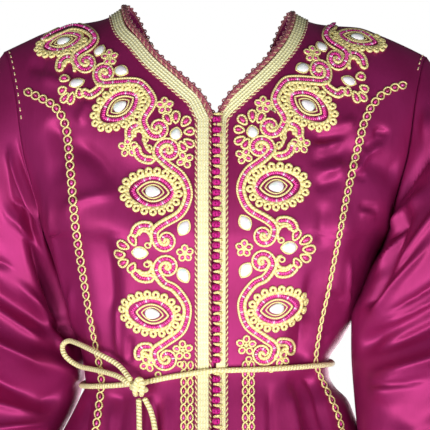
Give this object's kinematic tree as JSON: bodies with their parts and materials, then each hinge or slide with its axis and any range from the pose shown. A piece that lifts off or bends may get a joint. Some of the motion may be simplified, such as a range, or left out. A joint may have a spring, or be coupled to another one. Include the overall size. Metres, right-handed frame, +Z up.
{
  "type": "kaftan tunic",
  "caption": "Knee-length open-neck satin kaftan tunic with long full sleeves, button front, braid and couched embroidery, and a tied rope belt, filled out as worn.",
  "frame": {"origin": "midway between the shoulders, level with the base of the neck, where the wearer's shoulders hold the garment", "axes": "+Z up along the garment's length, the front faces -Y, the wearer's left is +X"},
  "size_m": [0.74, 0.3909, 1.0292],
  "materials": {
    "satin": "heavy magenta-plum satin with a soft sheen",
    "gold_braid": "flat woven pale gold braid",
    "gold_cord": "couched pale gold cord with magenta beads",
    "pearl_stone": "white pearl cabochon with a faint rainbow",
    "plum_gold_twist": "twisted magenta and gold cord",
    "plum_button": "knotted magenta thread",
    "belt_rope": "round braided gold rope"
  },
  "bodies": {
    "root": {"front_right": "satin", "sleeve_right": "satin", "braid_right": "gold_braid", "chain_right": "gold_cord", "medallion_right_1": "gold_cord", "medallion_right_2": "gold_cord", "medallion_right_3": "gold_cord", "medallion_right_4": "gold_cord", "stone_right_1": "pearl_stone", "stone_right_2": "pearl_stone", "stone_right_3": "pearl_stone", "stone_right_4": "pearl_stone", "stone_right_5": "pearl_stone", "stone_right_6": "pearl_stone", "stone_right_7": "pearl_stone", "stone_right_8": "pearl_stone", "stone_right_9": "pearl_stone", "stone_right_10": "pearl_stone", "stone_right_11": "pearl_stone", "front_left": "satin", "sleeve_left": "satin", "braid_left": "gold_braid", "chain_left": "gold_cord", "medallion_left_1": "gold_cord", "medallion_left_2": "gold_cord", "medallion_left_3": "gold_cord", "medallion_left_4": "gold_cord", "stone_left_1": "pearl_stone", "stone_left_2": "pearl_stone", "stone_left_3": "pearl_stone", "stone_left_4": "pearl_stone", "stone_left_5": "pearl_stone", "stone_left_6": "pearl_stone", "stone_left_7": "pearl_stone", "stone_left_8": "pearl_stone", "stone_left_9": "pearl_stone", "stone_left_10": "pearl_stone", "stone_left_11": "pearl_stone", "back": "satin", "braid_back": "gold_braid", "neck_cord": "plum_gold_twist", "buttons_upper": "plum_button", "buttons_lower": "plum_button", "belt_band": "belt_rope", "belt_knot": "belt_rope", "belt_loop": "belt_rope", "belt_end_a": "belt_rope", "belt_end_a_knot": "belt_rope", "belt_end_b": "belt_rope", "belt_end_b_knot": "belt_rope"}
  },
  "joints": []
}
